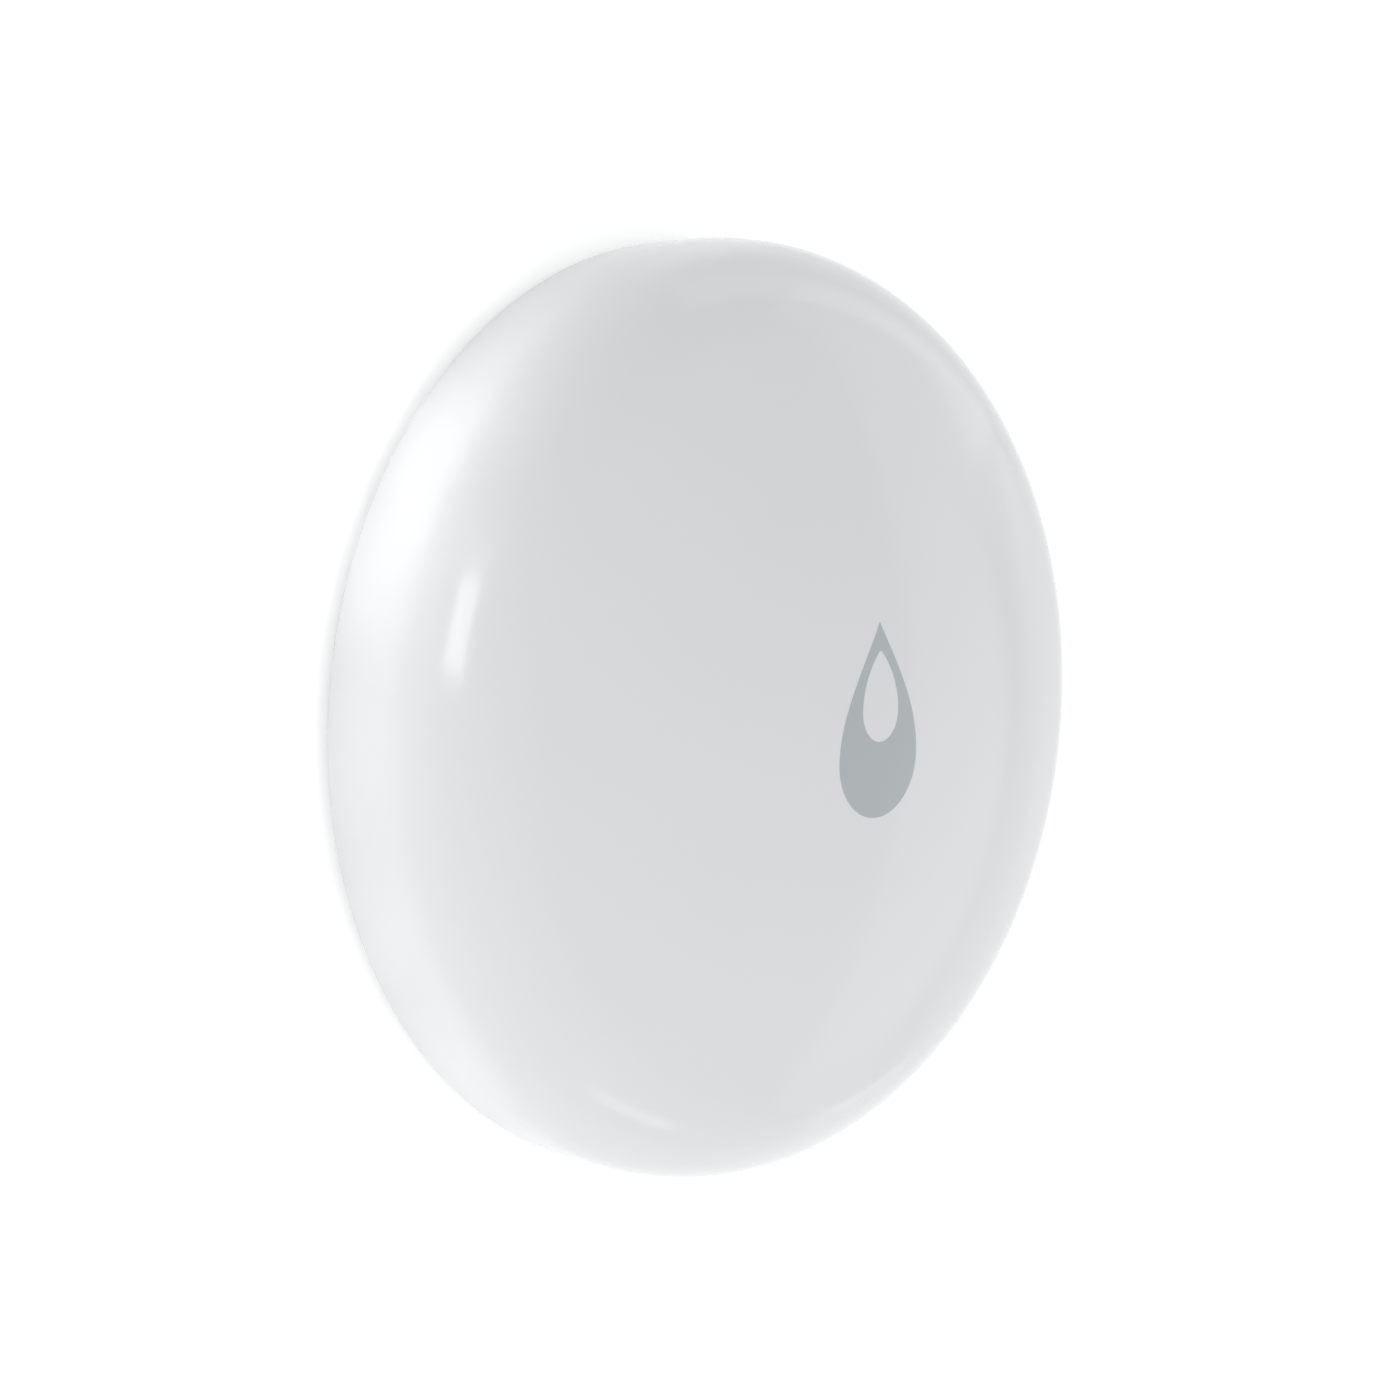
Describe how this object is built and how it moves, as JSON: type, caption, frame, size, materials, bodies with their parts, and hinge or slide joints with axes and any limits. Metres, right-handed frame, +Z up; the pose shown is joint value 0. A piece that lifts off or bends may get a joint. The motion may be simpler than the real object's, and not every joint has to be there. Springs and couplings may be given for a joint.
{
  "type": "water leak sensor",
  "caption": "Round domed floor sensor with probe screws and rubber feet underneath, a coin-slot twist battery cover, and a push switch under its printed water-drop sign.",
  "frame": {"origin": "on the floor under the middle of the round body, at the bottoms of the feet", "axes": "+Z up from the floor through the crown, +Y the way the tip of the drop sign points, +X through one water probe"},
  "size_m": [0.05, 0.05, 0.015],
  "materials": {
    "shell_white": "polished white moulded plastic",
    "base_white": "fine-textured white moulded plastic",
    "seal_grey": "grey silicone cord",
    "foot_grey": "soft grey silicone",
    "cell_steel": "brushed nickel-plated steel",
    "contact_bronze": "plated spring bronze",
    "board_green": "green solder mask on glass fibre",
    "sheet_tin": "tin-plated sheet",
    "chip_black": "moulded black epoxy",
    "ceramic_pale": "pale ceramic with tinned ends",
    "ceramic_brown": "brown ceramic with tinned ends",
    "light_case": "white case with a clear lens",
    "guide_clear": "clear acrylic rod",
    "stem_grey": "dark moulded plastic",
    "probe_steel": "bright stainless steel",
    "post_brass": "turned brass",
    "screw_steel": "zinc-plated steel"
  },
  "bodies": {
    "housing": {"top_shell": "shell_white", "base": "base_white", "base_seal": "seal_grey", "coin_cell": "cell_steel", "negative_contact": "contact_bronze", "positive_contact": "contact_bronze", "circuit_board": "board_green", "radio_shield": "sheet_tin", "radio_chip": "chip_black", "crystal": "sheet_tin", "chip_antenna": "ceramic_pale", "passives": "ceramic_brown", "status_light": "light_case", "light_guide": "guide_clear", "switch_body": "chip_black", "switch_frame": "sheet_tin", "switch_dome": "sheet_tin", "switch_terminals": "sheet_tin", "probe_screws": "probe_steel", "probe_seals": "seal_grey", "probe_posts": "post_brass", "board_screws": "screw_steel", "housing_screws": "screw_steel", "rubber_feet": "foot_grey"},
    "cover": {"battery_cover": "base_white", "cover_seal": "seal_grey"},
    "stem": {"switch_stem": "stem_grey"}
  },
  "joints": [
    {"name": "battery_cover_twist", "type": "hinge", "parent": "housing", "child": "cover", "pos_m": [0, 0, 0.0024], "axis": [0, 0, -1], "range_deg": [0, 30]},
    {"name": "switch_press", "type": "slide", "parent": "housing", "child": "stem", "axis": [0, 0, -1], "range_m": [0, 0.00025], "stiffness_N_per_m": 6400}
  ]
}
